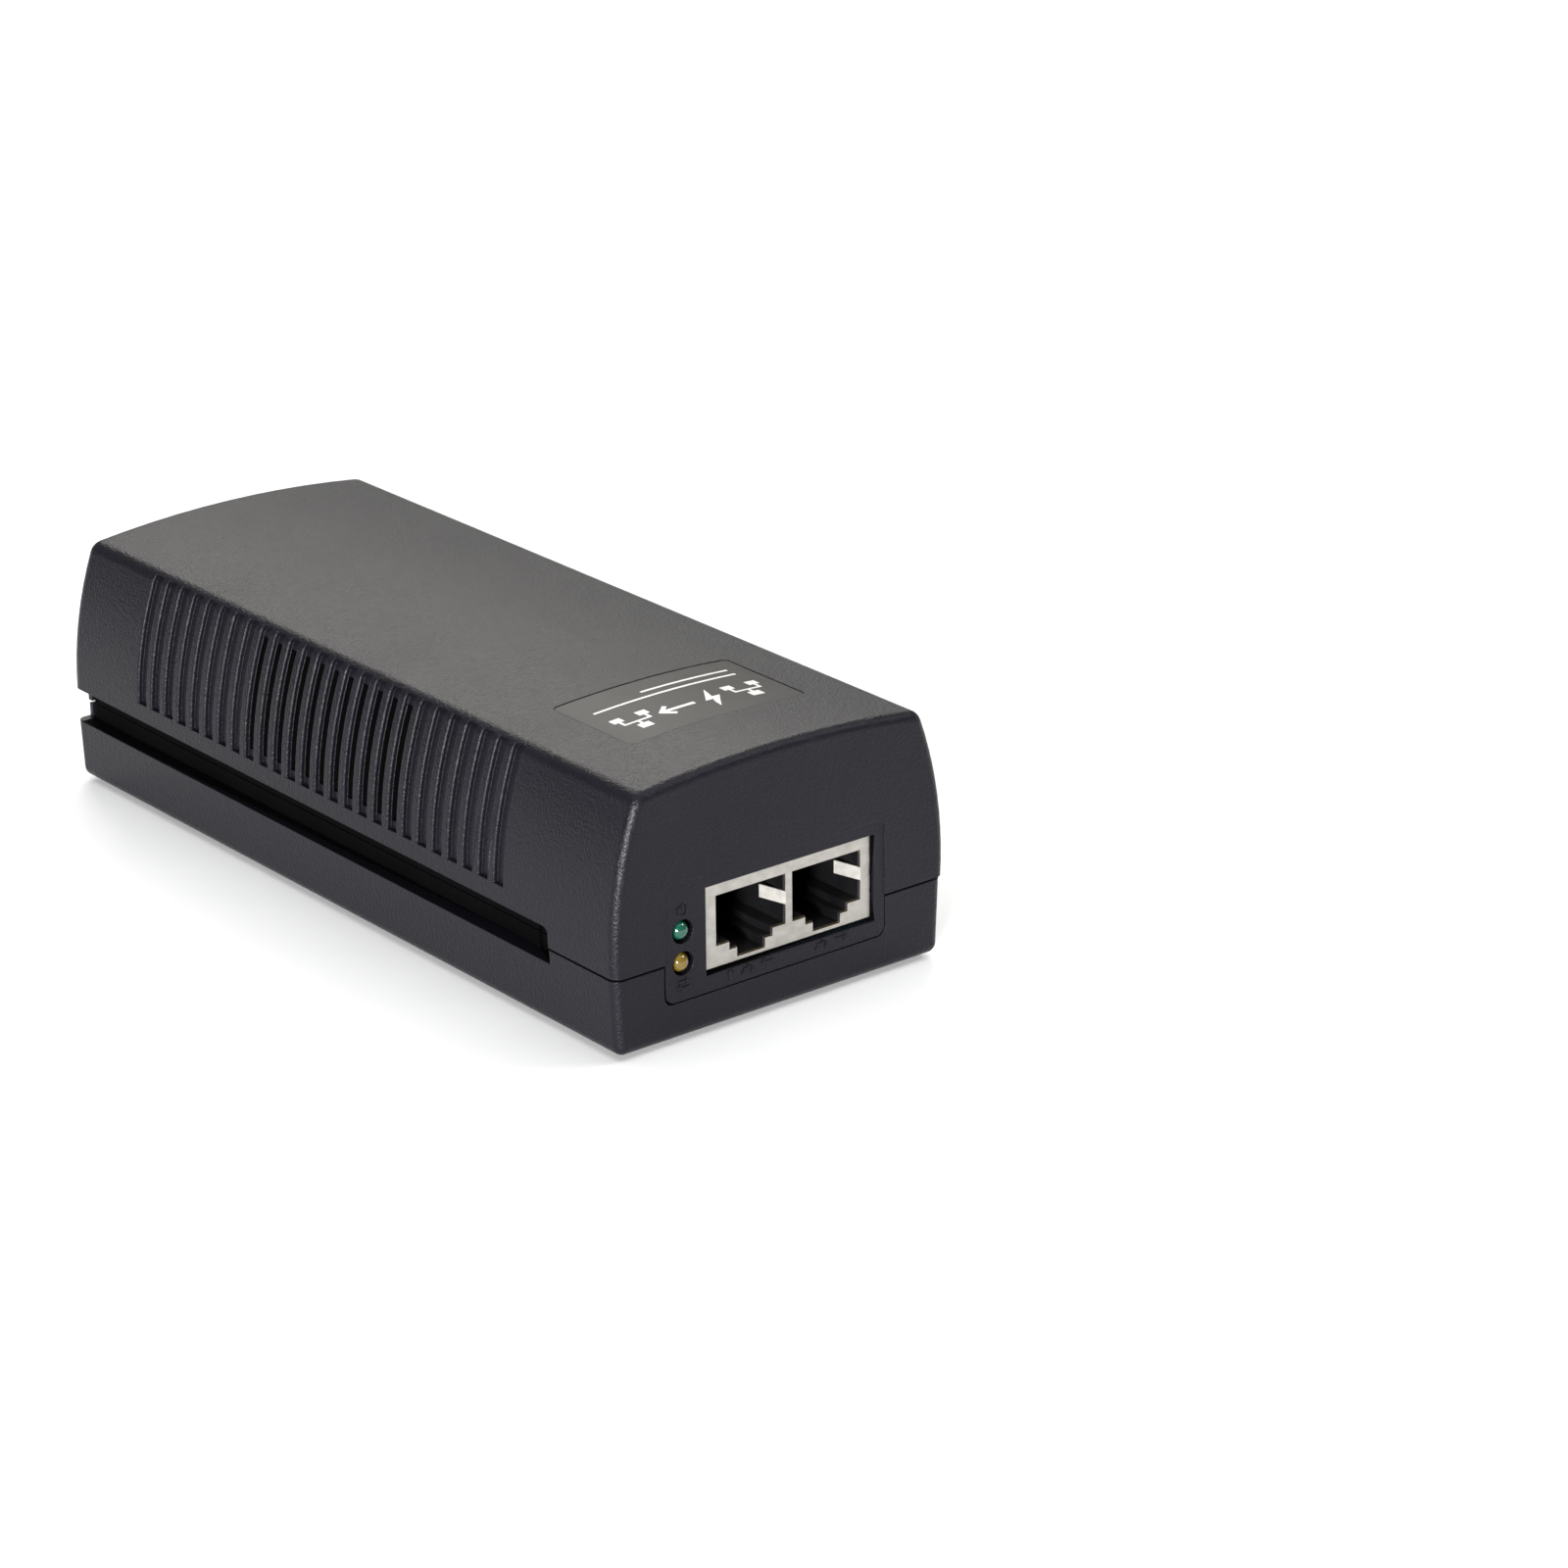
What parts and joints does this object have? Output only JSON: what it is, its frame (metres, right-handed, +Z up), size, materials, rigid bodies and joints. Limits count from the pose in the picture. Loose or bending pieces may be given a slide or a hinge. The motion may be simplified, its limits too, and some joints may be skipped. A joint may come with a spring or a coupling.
{
  "type": "poe injector",
  "caption": "Mains-powered PoE injector: ribbed plastic case with a crowned top, a double RJ45 jack, status lights, bracket channels and a rear mains inlet.",
  "frame": {"origin": "centre of the case's footprint, on the surface that the feet stand on", "axes": "+Z up, +Y along the case from the port end to the mains inlet, +X to the right as seen from the port end"},
  "size_m": [0.061, 0.1449, 0.0417],
  "materials": {
    "case_plastic": "fine spark-eroded grain, charcoal",
    "label_film": "satin dark grey film",
    "foot_rubber": "matt",
    "screw_steel": "zinc plated",
    "shield_plate": "nickel-plated sheet",
    "black_plastic": "moulded",
    "contact_gold": "gold plated",
    "green_lens": "tinted clear epoxy, unlit",
    "amber_lens": "tinted clear epoxy, unlit",
    "tinned_wire": "tinned",
    "board_laminate": "solder mask",
    "sheet_film": "insulating film",
    "disc_coating": "coated ceramic disc",
    "film_box": "moulded box",
    "ferrite": "ground ferrite",
    "copper_wire": "enamelled copper",
    "can_sleeve": "shrink sleeve",
    "sink_aluminium": "extruded",
    "winding_tape": "polyester tape"
  },
  "bodies": {
    "root": {"top_cover": "case_plastic", "bottom_tray": "case_plastic", "name_label": "label_film", "rating_label": "label_film", "rubber_feet": "foot_rubber", "case_screws": "screw_steel", "jack_shield": "shield_plate", "jack_housing": "black_plastic", "port_contacts": "contact_gold", "power_led": "green_lens", "data_led": "amber_lens", "led_holder": "black_plastic", "led_leads": "tinned_wire", "circuit_board": "board_laminate", "board_screws": "screw_steel", "insulating_sheet": "sheet_film", "inlet_housing": "black_plastic", "inlet_pins": "shield_plate", "surge_varistor": "disc_coating", "inrush_thermistor": "disc_coating", "safety_capacitors": "disc_coating", "choke_core": "ferrite", "choke_windings": "copper_wire", "primary_heatsink": "sink_aluminium", "switching_transistor": "black_plastic", "secondary_heatsink": "sink_aluminium", "output_rectifier": "black_plastic", "heatsink_screws": "screw_steel", "transformer_core": "ferrite", "transformer_bobbin": "black_plastic", "transformer_winding": "winding_tape", "transformer_base": "black_plastic", "output_capacitors": "can_sleeve", "lan_transformers": "black_plastic", "x_capacitor": "film_box", "bridge_rectifier": "black_plastic", "optocoupler": "black_plastic", "pwm_controller": "black_plastic", "poe_controller": "black_plastic", "mains_fuse": "black_plastic", "bulk_capacitor": "can_sleeve", "filter_coil": "copper_wire"}
  },
  "joints": []
}
